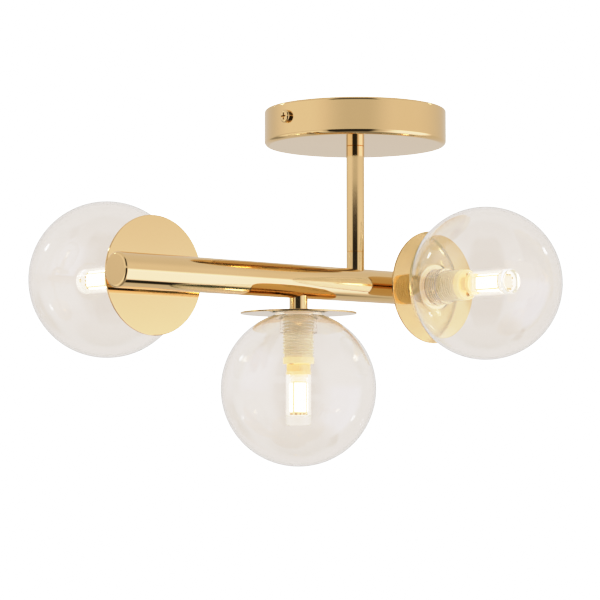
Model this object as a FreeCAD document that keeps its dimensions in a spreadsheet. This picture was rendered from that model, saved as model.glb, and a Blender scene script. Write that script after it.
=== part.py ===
import FreeCAD, Part
import math
import os
import Sketcher
from FreeCAD import Placement, Rotation, Vector

# Semi flush ceiling light: a round ceiling cup, a short stem, a horizontal arm
# tube and three globes on threaded lampholders, each with its own backplate.
# Frame: origin at the centre of the cup's ceiling face, on the stem's axis,
# +Z up, the arm tube along X.

doc = FreeCAD.newDocument("semi_flush_light")

# ---------------------------------------------------------------- dimensions
DIMS = [
    ("canopy_dia", 120.0, "ceiling cup, outside diameter"),
    ("canopy_depth", 24.0, "ceiling cup, height"),
    ("canopy_wall", 1.0, "ceiling cup, sheet thickness"),
    ("canopy_edge", 3.0, "ceiling cup, lower bend radius"),
    ("canopy_curl", 2.0, "ceiling cup, upper rim's outer radius"),
    ("canopy_lip", 0.6, "ceiling cup, flat lip inside the rolled rim"),
    ("side_screw_z", 10.0, "side screw, below the ceiling"),
    ("side_hole_dia", 4.5, "side screw clearance hole"),
    ("screw_dia", 4.0, "side screw, thread diameter"),
    ("screw_head_dia", 8.4, "side screw, head diameter"),
    ("screw_head_tall", 3.0, "side screw, head height"),
    ("screw_reach", 10.0, "side screw, length under the head"),
    ("bracket_half", 56.4, "ceiling bracket, half length"),
    ("bracket_wide", 18.0, "ceiling bracket, width"),
    ("bracket_thick", 1.5, "ceiling bracket, thickness"),
    ("tab_drop", 15.0, "bracket tab, height with the strip"),
    ("slot_spacing", 92.0, "ceiling screw slots, centre to centre"),
    ("slot_wide", 4.5, "ceiling screw slots, width"),
    ("slot_long", 12.0, "ceiling screw slots, length"),
    ("entry_dia", 10.0, "cable entry in the bracket"),
    ("entry_x", 30.0, "cable entry, place along the bracket"),
    ("earth_x", 17.0, "earth screw, place along the bracket"),
    ("nipple_dia", 10.0, "threaded tube, diameter"),
    ("nipple_bore", 8.0, "threaded tube, bore"),
    ("nut_flats", 13.0, "locknut across flats"),
    ("nut_thick", 2.6, "locknut thickness"),
    ("stem_dia", 12.0, "stem, diameter"),
    ("stem_end_z", 94.0, "stem, lower end below the ceiling"),
    ("tube_dia", 22.0, "arm tube, diameter"),
    ("tube_wall", 1.0, "arm tube, wall"),
    ("tube_len", 287.0, "arm tube without its caps"),
    ("tube_z", 116.0, "arm tube axis below the ceiling"),
    ("tube_mid", 50.0, "arm tube centre, from the stem axis"),
    ("lamp_step", 101.5, "lamp spacing along the arm tube"),
    ("cap_head", 3.0, "end cap, visible thickness"),
    ("cap_edge", 1.8, "end cap, edge radius"),
    ("cap_plug", 6.0, "end cap, plug length"),
    ("spacer_dia", 12.0, "backplate spacer, diameter"),
    ("plate_out", 21.0, "backplate face, from the tube axis"),
    ("plate_dia", 75.0, "backplate, diameter"),
    ("plate_thick", 1.2, "backplate, thickness"),
    ("washer_flat", 6.0, "saddle washer, flat side from the tube axis"),
    ("washer_dia", 14.5, "saddle washer, diameter"),
    ("thread_pitch", 2.0, "globe thread, pitch"),
    ("thread_core", 18.4, "lampholder thread, core diameter"),
    ("thread_crest", 20.2, "lampholder thread, crest diameter"),
    ("thread_start", 1.6, "first thread centre, from the plate"),
    ("thread_rise", 25.0, "lampholder thread, axial length"),
    ("sleeve_len", 28.0, "lampholder sleeve, length"),
    ("sleeve_bore", 14.4, "lampholder sleeve, inner diameter"),
    ("sleeve_floor", 3.0, "lampholder sleeve, floor thickness"),
    ("insert_dia", 20.0, "lampholder end ring, diameter"),
    ("insert_ring", 4.0, "lampholder end ring, height"),
    ("insert_low", 21.0, "ceramic insert, lowest point from the plate"),
    ("pin_gap", 9.0, "bulb pins, centre to centre"),
    ("rivet_out", 6.25, "eyelet, from the lampholder's axis"),
    ("globe_dia", 100.0, "globe, outside diameter"),
    ("globe_wall", 1.6, "globe, glass thickness"),
    ("globe_out", 48.0, "globe centre, from the plate"),
    ("lip_gap", 0.9, "globe mouth, above the plate"),
    ("neck_bore", 20.9, "globe neck, inside diameter"),
    ("neck_dia", 24.2, "globe neck, outside diameter"),
    ("neck_len", 12.5, "globe neck, end from the plate"),
    ("neck_crest", 19.0, "globe thread, crest diameter"),
    ("neck_rise", 8.0, "globe thread, axial length"),
    ("gasket_dia", 30.0, "mouth gasket, outside diameter"),
    ("bulb_dia", 16.2, "bulb capsule, diameter"),
    ("bulb_base_dia", 15.8, "bulb base, length across the pins"),
    ("bulb_base_thick", 8.6, "bulb base, thickness"),
    ("bulb_seat", 32.15, "bulb base, underside from the plate"),
    ("bulb_neck", 37.0, "bulb base, top from the plate"),
    ("bulb_end", 71.4, "bulb tip, from the plate"),
    ("bulb_wall", 0.8, "bulb capsule, wall"),
    ("wire_dia", 1.4, "internal lead, over its sleeving"),
]


class Size:
    """A length with its value and the sheet expression that drives it."""

    def __init__(self, value, text):
        self.value = float(value)
        self.text = text

    def _with(self, other, sign, swap=False):
        other = other if isinstance(other, Size) else Size(other, repr(float(other)))
        first, second = (other, self) if swap else (self, other)
        a, b = first.value, second.value
        value = {"+": a + b, "-": a - b, "*": a * b, "/": a / b if b else 0.0}[sign]
        return Size(value, "(%s %s %s)" % (first.text, sign, second.text))

    def __add__(self, other):
        return self._with(other, "+")

    def __radd__(self, other):
        return self._with(other, "+", True)

    def __sub__(self, other):
        return self._with(other, "-")

    def __rsub__(self, other):
        return self._with(other, "-", True)

    def __mul__(self, other):
        return self._with(other, "*")

    def __rmul__(self, other):
        return self._with(other, "*", True)

    def __truediv__(self, other):
        return self._with(other, "/")

    def __neg__(self):
        return self * -1.0


def root_of(size):
    return Size(math.sqrt(size.value), "sqrt(%s)" % size.text)


def fixed(number):
    return Size(number, repr(float(number)))


sheet = doc.addObject("Spreadsheet::Sheet", "dims")
sheet.set("A1", "name")
sheet.set("B1", "mm")
sheet.set("C1", "meaning")
d = {}
for row, (alias, number, note) in enumerate(DIMS, start=2):
    sheet.set("A%d" % row, alias)
    sheet.set("B%d" % row, repr(number))
    sheet.set("C%d" % row, note)
    sheet.setAlias("B%d" % row, alias)
    d[alias] = Size(number, "dims." + alias)
doc.recompute()


def drive(obj, prop, size):
    """Sets a size and binds it to the sheet."""
    if isinstance(size, Size):
        setattr(obj, prop, size.value)
        if "dims." in size.text:
            obj.setExpression(prop, size.text)
    else:
        setattr(obj, prop, size)


def new_body(name, place=None):
    body = doc.addObject("PartDesign::Body", name)
    body.Label = name
    if place is not None:
        body.Placement = place
    return body


def plane(body, role):
    return [o for o in body.Origin.OriginFeatures if o.Role == role][0]


def new_sketch(body, name, role, lift=None):
    sk = body.newObject("Sketcher::SketchObject", name)
    sk.AttachmentSupport = [(plane(body, role), "")]
    sk.MapMode = "FlatFace"
    if lift is not None:
        sk.AttachmentOffset = Placement(Vector(0, 0, lift.value), Rotation())
        if "dims." in lift.text:
            sk.setExpression("AttachmentOffset.Base.z", lift.text)
    return sk


def hold(sk, index, pos, x, y):
    """Dimensions a point of a sketch from the sketch's origin."""
    for size, kind, axis in ((x, "DistanceX", -2), (y, "DistanceY", -1)):
        if size is None:
            continue
        size = size if isinstance(size, Size) else fixed(size)
        if abs(size.value) < 1e-9:
            sk.addConstraint(Sketcher.Constraint("PointOnObject", index, pos, axis))
            continue
        n = sk.addConstraint(Sketcher.Constraint(kind, -1, 1, index, pos, size.value))
        if "dims." in size.text:
            sk.setExpression("Constraints[%d]" % n, size.text)


def num(size):
    return size.value if isinstance(size, Size) else float(size)


def outline(sk, items):
    """A closed outline: (x, y) corners, with ("arc", cx, cy, ccw) between two of them for an arc."""
    corners, arcs = [], {}
    for item in items:
        if item[0] == "arc":
            arcs[len(corners) - 1] = item[1:]
        else:
            corners.append(item)
    ends = []
    total = len(corners)
    for i in range(total):
        a, b = corners[i], corners[(i + 1) % total]
        ax, ay, bx, by = num(a[0]), num(a[1]), num(b[0]), num(b[1])
        if i in arcs:
            cx, cy, ccw = arcs[i]
            mx, my = num(cx), num(cy)
            r = math.hypot(ax - mx, ay - my)
            start = math.atan2(ay - my, ax - mx)
            end = math.atan2(by - my, bx - mx)
            if not ccw:
                start, end = end, start
            if end <= start:
                end += 2 * math.pi
            circle = Part.Circle(Vector(mx, my, 0), Vector(0, 0, 1), r)
            n = sk.addGeometry(Part.ArcOfCircle(circle, start, end), False)
            ends.append((n, 1, 2) if ccw else (n, 2, 1))
        else:
            n = sk.addGeometry(Part.LineSegment(Vector(ax, ay, 0), Vector(bx, by, 0)), False)
            ends.append((n, 1, 2))
    for i in range(total):
        n, _, last = ends[i]
        after, first, _ = ends[(i + 1) % total]
        sk.addConstraint(Sketcher.Constraint("Coincident", n, last, after, first))
    for i in range(total):
        hold(sk, ends[i][0], ends[i][1], corners[i][0], corners[i][1])
        if i in arcs:
            level = abs(num(corners[i][1]) - num(corners[(i + 1) % total][1])) < 1e-9
            hold(sk, ends[i][0], 3, None if level else arcs[i][0], arcs[i][1] if level else None)
    state = sk.solve()
    if state != 0:
        raise RuntimeError("the sketch %s solves with state %d" % (sk.Name, state))


def circle(sk, x, y, diameter):
    n = sk.addGeometry(Part.Circle(Vector(num(x), num(y), 0), Vector(0, 0, 1), num(diameter) / 2), False)
    k = sk.addConstraint(Sketcher.Constraint("Diameter", n, num(diameter)))
    if isinstance(diameter, Size) and "dims." in diameter.text:
        sk.setExpression("Constraints[%d]" % k, diameter.text)
    hold(sk, n, 3, x, y)


def hexagon(sk, flats):
    """A hexagon about the origin, flats facing +X and -X."""
    half = flats / 2
    side = flats / math.sqrt(3)
    outline(sk, [(half, side / 2), (fixed(0), side), (-half, side / 2), (-half, -side / 2), (fixed(0), -side), (half, -side / 2)])


def turn(body, name, items, cut=False):
    """A turned shape: the outline lies in the body's XZ plane and turns about its Z axis."""
    sk = new_sketch(body, name + "_outline", "XZ_Plane")
    outline(sk, items)
    f = body.newObject("PartDesign::Groove" if cut else "PartDesign::Revolution", name)
    f.Profile = sk
    f.ReferenceAxis = (sk, ["V_Axis"])
    f.Angle = 360
    return f


def pad(body, name, sk, length, back=False, cut=False, through=False):
    f = body.newObject("PartDesign::Pocket" if cut else "PartDesign::Pad", name)
    f.Profile = sk
    f.Reversed = back
    if through:
        f.Type = "ThroughAll"
    else:
        drive(f, "Length", length)
    return f


def volume_of(body):
    doc.recompute()
    return body.Shape.Volume


def cut_checked(body, before):
    """A pocket that points away from the solid cuts nothing, so the volume has to drop."""
    after = volume_of(body)
    if not after < before - 1e-3:
        raise RuntimeError("the cut in %s removed nothing" % body.Label)
    return after


def rounded(body, name, edges, radius, chamfer=False):
    doc.recompute()
    tip = body.Tip
    names = []
    for i, e in enumerate(tip.Shape.Edges, start=1):
        if edges(e):
            names.append("Edge%d" % i)
    if not names:
        raise RuntimeError("no edge to round on %s" % body.Label)
    f = body.newObject("PartDesign::Chamfer" if chamfer else "PartDesign::Fillet", name)
    f.Base = (tip, names)
    drive(f, "Size" if chamfer else "Radius", radius)
    return f


def ring_edge(z, radius, tol=0.02):
    """Finds the circle at height z with that radius, in the body's own frame."""

    def test(e):
        if e.Degenerated:
            return False
        c = e.Curve
        if not isinstance(c, Part.Circle):
            return False
        return abs(c.Radius - num(radius)) < tol and abs(c.Center.z - num(z)) < tol

    return test


outputs = []


def keep(obj, name=None):
    if name:
        obj.Label = name
    outputs.append(obj)
    return obj


def group(name, members):
    """Identical small pieces that share one node stay separate solids."""
    c = doc.addObject("Part::Compound", name)
    c.Label = name
    c.Links = members
    return keep(c)


UP = Rotation()
DOWN = Rotation(Vector(1, 0, 0), 180)
AWAY = Rotation(Vector(1, 0, 0), -90)
NEAR = Rotation(Vector(1, 0, 0), 90)

# ------------------------------------------------------------ ceiling cup
R = d["canopy_dia"] / 2
T = d["canopy_wall"]
H = d["canopy_depth"]
E = d["canopy_edge"]
K = d["canopy_curl"]
L = d["canopy_lip"]
canopy = new_body("canopy")
turn(canopy, "cup", [
    (d["nipple_dia"] / 2 + 0.1, -H),
    (R - E, -H),
    ("arc", R - E, E - H, True),
    (R, E - H),
    (R, -K),
    ("arc", R - K, -K, True),
    (R - K, fixed(0)),
    (R - K - L, fixed(0)),
    (R - K - L, -T),
    (R - K, -T),
    ("arc", R - K, -K, False),
    (R - T, -K),
    (R - T, E - H),
    ("arc", R - E, E - H, False),
    (R - E, T - H),
    (d["nipple_dia"] / 2 + 0.1, T - H),
])
vol = volume_of(canopy)
sk = new_sketch(canopy, "side_hole_outline", "YZ_Plane")
circle(sk, fixed(0), -d["side_screw_z"], d["side_hole_dia"])
p = pad(canopy, "side_hole", sk, d["canopy_dia"] * 0.6, cut=True)
p.Reversed = False
vol = cut_checked(canopy, vol)
sk = new_sketch(canopy, "side_hole_outline_b", "YZ_Plane")
circle(sk, fixed(0), -d["side_screw_z"], d["side_hole_dia"])
p = pad(canopy, "side_hole_b", sk, d["canopy_dia"] * 0.6, back=True, cut=True)
vol = cut_checked(canopy, vol)
keep(canopy)

# ------------------------------------------------------------ ceiling bracket
BH = d["bracket_half"]
BT = d["bracket_thick"]
bracket = new_body("ceiling_bracket")
sk = new_sketch(bracket, "strip_side", "XZ_Plane", lift=-d["bracket_wide"] / 2)
bend = fixed(1.0)
outline(sk, [
    (-BH, -d["tab_drop"]),
    (BT - BH, -d["tab_drop"]),
    (BT - BH, -BT - bend),
    ("arc", BT - BH + bend, -BT - bend, False),
    (BT - BH + bend, -BT),
    (BH - BT - bend, -BT),
    ("arc", BH - BT - bend, -BT - bend, False),
    (BH - BT, -BT - bend),
    (BH - BT, -d["tab_drop"]),
    (BH, -d["tab_drop"]),
    (BH, -BT - bend),
    ("arc", BH - BT - bend, -BT - bend, True),
    (BH - BT - bend, fixed(0)),
    (BT - BH + bend, fixed(0)),
    ("arc", BT - BH + bend, -BT - bend, True),
    (-BH, -BT - bend),
])
pad(bracket, "strip", sk, d["bracket_wide"])
vol = volume_of(bracket)
sk = new_sketch(bracket, "slots_outline", "XY_Plane")
for side in (-1.0, 1.0):
    mid = d["slot_spacing"] / 2 * side
    run = (d["slot_long"] - d["slot_wide"]) / 2
    hw = d["slot_wide"] / 2
    outline(sk, [
        (mid - run, -hw),
        (mid + run, -hw),
        ("arc", mid + run, fixed(0), True),
        (mid + run, hw),
        (mid - run, hw),
        ("arc", mid - run, fixed(0), True),
    ])
circle(sk, d["entry_x"], fixed(0), d["entry_dia"])
circle(sk, d["earth_x"], fixed(0), d["screw_dia"])
pad(bracket, "slots", sk, d["bracket_thick"] * 2, cut=True)
vol = cut_checked(bracket, vol)
sk = new_sketch(bracket, "tab_holes_outline", "YZ_Plane")
circle(sk, fixed(0), -d["side_screw_z"], d["screw_dia"])
pad(bracket, "tab_hole", sk, d["canopy_dia"] * 0.6, cut=True)
vol = cut_checked(bracket, vol)
sk = new_sketch(bracket, "tab_holes_outline_b", "YZ_Plane")
circle(sk, fixed(0), -d["side_screw_z"], d["screw_dia"])
pad(bracket, "tab_hole_b", sk, d["canopy_dia"] * 0.6, back=True, cut=True)
vol = cut_checked(bracket, vol)
keep(bracket)

# ------------------------------------------------------------ side screws, cross recess
SR = d["screw_head_dia"] / 2
ST = d["screw_head_tall"]
side_screws = []
for n, (sign, spin) in enumerate(((-1.0, -90), (1.0, 90)), start=1):
    b = new_body("canopy_screw_%d" % n, Placement(Vector(sign * num(R), 0, -num(d["side_screw_z"])), Rotation(Vector(0, 1, 0), spin)))
    turn(b, "screw", [
        (fixed(0), -d["screw_reach"]),
        (d["screw_dia"] / 2 - 0.6, -d["screw_reach"]),
        (d["screw_dia"] / 2, 0.6 - d["screw_reach"]),
        (d["screw_dia"] / 2, fixed(0)),
        (SR - 0.2, fixed(0)),
        (SR, fixed(0.2)),
        (SR, ST - 1.5),
        ("arc", SR - 1.5, ST - 1.5, True),
        (SR - 1.5, ST),
        (fixed(0), ST),
    ])
    vol = volume_of(b)
    sk = new_sketch(b, "cross_a", "XY_Plane", lift=ST)
    outline(sk, [(fixed(-2.3), fixed(-0.55)), (fixed(2.3), fixed(-0.55)), (fixed(2.3), fixed(0.55)), (fixed(-2.3), fixed(0.55))])
    pad(b, "recess_a", sk, ST * 0.6, cut=True)
    sk = new_sketch(b, "cross_b", "XY_Plane", lift=ST)
    outline(sk, [(fixed(-0.55), fixed(-2.3)), (fixed(0.55), fixed(-2.3)), (fixed(0.55), fixed(2.3)), (fixed(-0.55), fixed(2.3))])
    pad(b, "recess_b", sk, ST * 0.6, cut=True)
    cut_checked(b, vol)
    side_screws.append(b)
group("canopy_screws", side_screws)

# ------------------------------------------------------------ terminal block, three poles
block = new_body("terminal_block")
sk = new_sketch(block, "block_side", "YZ_Plane", lift=fixed(-38.0))
outline(sk, [
    (fixed(-11), fixed(-12.5)),
    (fixed(-10), fixed(-13.5)),
    (fixed(10), fixed(-13.5)),
    (fixed(11), fixed(-12.5)),
    (fixed(11), -BT),
    (fixed(-11), -BT),
])
for y in (-7.0, 0.0, 7.0):
    circle(sk, fixed(y), fixed(-8.0), fixed(5.4))
pad(block, "block", sk, fixed(22.0))
vol = volume_of(block)
sk = new_sketch(block, "screw_wells", "XY_Plane", lift=fixed(-13.5))
for y in (-7.0, 0.0, 7.0):
    for x in (-33.0, -21.0):
        circle(sk, fixed(x), fixed(y), fixed(3.4))
w = pad(block, "wells", sk, fixed(4.0), back=True, cut=True)
cut_checked(block, vol)
keep(block)

contacts, small_screws = [], []
for n, y in enumerate((-7.0, 0.0, 7.0), start=1):
    b = new_body("terminal_contact_%d" % n, Placement(Vector(-37.0, y, -8.0), Rotation(Vector(0, 1, 0), 90)))
    turn(b, "tube", [(fixed(2.0), fixed(0)), (fixed(2.7), fixed(0)), (fixed(2.7), fixed(20)), (fixed(2.0), fixed(20))])
    contacts.append(b)
    for m, x in enumerate((-33.0, -21.0), start=1):
        s = new_body("terminal_screw_%d_%d" % (n, m), Placement(Vector(x, y, -10.75), DOWN))
        turn(s, "grub", [(fixed(0), fixed(0)), (fixed(1.45), fixed(0)), (fixed(1.45), fixed(2.2)), (fixed(0), fixed(2.2))])
        vol = volume_of(s)
        sk = new_sketch(s, "slot_outline", "XY_Plane", lift=fixed(2.2))
        outline(sk, [(fixed(-2), fixed(-0.3)), (fixed(2), fixed(-0.3)), (fixed(2), fixed(0.3)), (fixed(-2), fixed(0.3))])
        pad(s, "slot", sk, fixed(0.8), cut=True)
        cut_checked(s, vol)
        small_screws.append(s)
group("terminal_contacts", contacts)
group("terminal_screws", small_screws)

# ------------------------------------------------------------ earth screw and its ring tag
es = new_body("earth_screw", Placement(Vector(num(d["earth_x"]), 0, -2.3), DOWN))
turn(es, "screw", [
    (fixed(0), fixed(-2.3)),
    (d["screw_dia"] / 2, fixed(-2.3)),
    (d["screw_dia"] / 2, fixed(0)),
    (fixed(3.6), fixed(0)),
    (fixed(3.6), fixed(1.4)),
    ("arc", fixed(2.6), fixed(1.4), True),
    (fixed(2.6), fixed(2.4)),
    (fixed(0), fixed(2.4)),
])
vol = volume_of(es)
sk = new_sketch(es, "slot_outline", "XY_Plane", lift=fixed(2.4))
outline(sk, [(fixed(-4), fixed(-0.5)), (fixed(4), fixed(-0.5)), (fixed(4), fixed(0.5)), (fixed(-4), fixed(0.5))])
pad(es, "slot", sk, fixed(1.2), cut=True)
cut_checked(es, vol)
keep(es)

tag = new_body("earth_tag")
sk = new_sketch(tag, "tag_outline", "XY_Plane", lift=-BT)
EX = d["earth_x"]
outline(sk, [
    (EX - 9.0, fixed(-1.4)),
    (EX - 3.7, fixed(-1.4)),
    ("arc", EX, fixed(0), True),
    (EX - 3.7, fixed(1.4)),
    (EX - 9.0, fixed(1.4)),
])
circle(sk, EX, fixed(0), d["screw_dia"] + 0.2)
pad(tag, "tag", sk, fixed(0.8), back=True)
keep(tag)


# ------------------------------------------------------------ threaded tubes, nuts and washers
def hollow(body, outer, bore, low, high, bevel=0.0):
    """A plain turned tube between two heights, with an optional bevel on its outer corners."""
    if bevel:
        items = [(bore / 2, low), (outer / 2 - bevel, low), (outer / 2, low + bevel), (outer / 2, high - bevel), (outer / 2 - bevel, high), (bore / 2, high)]
    else:
        items = [(bore / 2, low), (outer / 2, low), (outer / 2, high), (bore / 2, high)]
    return turn(body, "turned", items)


def nut(name, place, thick=None, flats=None):
    b = new_body(name, place)
    sk = new_sketch(b, "hexagon", "XY_Plane")
    hexagon(sk, flats or d["nut_flats"])
    circle(sk, fixed(0), fixed(0), d["nipple_dia"])
    pad(b, "nut", sk, thick or d["nut_thick"])
    return b


FLOOR = T - H
washer_t = fixed(0.8)
b = new_body("stem_nipple_top")
hollow(b, d["nipple_dia"], d["nipple_bore"], -H - 10.0, -H + 11.5, 0.5)
keep(b)
b = new_body("canopy_lock_washer")
sk = new_sketch(b, "washer_outline", "XY_Plane", lift=FLOOR)
circle(sk, fixed(0), fixed(0), fixed(17.0))
circle(sk, fixed(0), fixed(0), fixed(10.2))
pad(b, "washer", sk, washer_t)
vol = volume_of(b)
sk = new_sketch(b, "tooth_gap", "XY_Plane", lift=FLOOR)
outline(sk, [(fixed(7.3), fixed(-0.7)), (fixed(9.0), fixed(-0.9)), (fixed(9.0), fixed(0.9)), (fixed(7.3), fixed(0.7))])
gap = pad(b, "gap", sk, fixed(2.0), back=True, cut=True)
doc.recompute()
pat = b.newObject("PartDesign::PolarPattern", "gaps")
pat.Originals = [gap]
pat.Axis = (sk, ["N_Axis"])
pat.Angle = 360
pat.Occurrences = 10
b.Tip = pat
cut_checked(b, vol)
keep(b)
keep(nut("canopy_nut", Placement(Vector(0, 0, num(FLOOR) + 0.8), UP), fixed(3.5)))
b = new_body("wire_bush")
turn(b, "bush", [
    (fixed(3.75), -H + 11.5),
    (fixed(5.0), -H + 11.5),
    (fixed(5.0), -H + 12.4),
    (fixed(4.6), -H + 12.8),
    (fixed(3.9), -H + 12.8),
    (fixed(3.75), -H + 12.4),
])
keep(b)

# ------------------------------------------------------------ stem and its lower coupling
TZ = d["tube_z"]
TR = d["tube_dia"] / 2
b = new_body("stem_tube")
hollow(b, d["stem_dia"], d["nipple_dia"], -d["stem_end_z"], -H, 0.25)
keep(b)


def saddle(body, axis_z, radius):
    """Cuts the end of a piece to the curve of the arm tube, whose axis crosses at axis_z in the body's frame, along X."""
    sk = new_sketch(body, "saddle_outline", "YZ_Plane", lift=fixed(-20.0))
    circle(sk, fixed(0), axis_z, radius * 2)
    return pad(body, "saddle", sk, fixed(40.0), cut=True, back=True)


b = new_body("stem_coupling")
hollow(b, d["stem_dia"], d["nipple_dia"], -TZ + TR - 2.5, -d["stem_end_z"], 0.0)
vol = volume_of(b)
saddle(b, -TZ, TR)
cut_checked(b, vol)
rounded(b, "seam", ring_edge(-d["stem_end_z"], d["stem_dia"] / 2), fixed(0.25), chamfer=True)
keep(b)
b = new_body("stem_nipple_bottom")
hollow(b, d["nipple_dia"], d["nipple_bore"], -TZ + 3.0, -d["stem_end_z"] + 10.0, 0.5)
keep(b)

# ------------------------------------------------------------ arm tube with its caps
TM = d["tube_mid"]
TL = d["tube_len"]
tube = new_body("arm_tube")
sk = new_sketch(tube, "tube_outline", "YZ_Plane", lift=-TM - TL / 2)
circle(sk, fixed(0), -TZ, d["tube_dia"])
circle(sk, fixed(0), -TZ, d["tube_dia"] - d["tube_wall"] * 2)
pad(tube, "tube", sk, TL)
vol = volume_of(tube)
sk = new_sketch(tube, "stem_hole_outline", "XY_Plane", lift=-TZ)
circle(sk, fixed(0), fixed(0), d["nipple_dia"] + 0.2)
pad(tube, "stem_hole", sk, TR * 2, back=True, cut=True)
vol = cut_checked(tube, vol)
sk = new_sketch(tube, "bottom_hole_outline", "XY_Plane", lift=-TZ)
circle(sk, -TM, fixed(0), d["nipple_dia"] + 0.2)
pad(tube, "bottom_hole", sk, TR * 2, cut=True)
vol = cut_checked(tube, vol)
sk = new_sketch(tube, "left_hole_outline", "XZ_Plane")
circle(sk, -TM - d["lamp_step"], -TZ, d["nipple_dia"] + 0.2)
left_cut = pad(tube, "left_hole", sk, TR * 2, cut=True)
vol = cut_checked(tube, vol)
sk = new_sketch(tube, "right_hole_outline", "XZ_Plane")
circle(sk, d["lamp_step"] - TM, -TZ, d["nipple_dia"] + 0.2)
pad(tube, "right_hole", sk, TR * 2, back=True, cut=True)
vol = cut_checked(tube, vol)
keep(tube)

for name, x, spin in (("end_cap_left", -num(TM) - num(TL) / 2, -90), ("end_cap_right", -num(TM) + num(TL) / 2, 90)):
    b = new_body(name, Placement(Vector(x, 0, -num(TZ)), Rotation(Vector(0, 1, 0), spin)))
    bore = TR - d["tube_wall"]
    turn(b, "cap", [
        (fixed(0), fixed(-1.5)),
        (bore - 1.2, fixed(-1.5)),
        (bore - 1.2, -d["cap_plug"]),
        (bore - 0.4, -d["cap_plug"]),
        (bore, 0.6 - d["cap_plug"]),
        (bore, fixed(0)),
        (TR, fixed(0)),
        (TR, d["cap_head"] - d["cap_edge"]),
        ("arc", TR - d["cap_edge"], d["cap_head"] - d["cap_edge"], True),
        (TR - d["cap_edge"], d["cap_head"]),
        (fixed(0), d["cap_head"]),
    ])
    keep(b)

# ------------------------------------------------------------ three lamps
# Each lamp is drawn in its own frame, with the origin on the arm tube's axis
# and +Z pointing out along the lamp.
PO = d["plate_out"]
PT = d["plate_thick"]
lamps = {
    "left": Placement(Vector(-num(TM) - num(d["lamp_step"]), 0, -num(TZ)), AWAY),
    "right": Placement(Vector(num(d["lamp_step"]) - num(TM), 0, -num(TZ)), NEAR),
    "bottom": Placement(Vector(-num(TM), 0, -num(TZ)), Rotation(Vector(0, 0, 1), 0).multiply(DOWN)),
}
bore_in = TR - d["tube_wall"]

washers, arm_nuts, nipples, holder_nuts, rivets = [], [], [], [], []


def saddle_washer(name, place):
    b = new_body(name, place)
    hollow(b, d["washer_dia"], d["nipple_dia"] + 0.2, d["washer_flat"], bore_in + 1.0)
    vol = volume_of(b)
    sk = new_sketch(b, "tube_bore", "YZ_Plane", lift=fixed(-20.0))
    reach = bore_in + 4.0
    outline(sk, [
        (-reach, fixed(0)),
        (-bore_in, fixed(0)),
        ("arc", fixed(0), fixed(0), False),
        (bore_in, fixed(0)),
        (reach, fixed(0)),
        (reach, reach),
        (-reach, reach),
    ])
    pad(b, "fit", sk, fixed(40.0), cut=True, back=True)
    cut_checked(b, vol)
    return b


stem_in = Placement(Vector(0, 0, -num(TZ)), UP)
washers.append(saddle_washer("saddle_washer_stem", stem_in))
arm_nuts.append(nut("arm_nut_stem", Placement(Vector(0, 0, -num(TZ) + num(d["washer_flat"]) - num(d["nut_thick"])), UP)))


def shifted(place, out):
    return place.multiply(Placement(Vector(0, 0, out), Rotation()))


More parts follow.
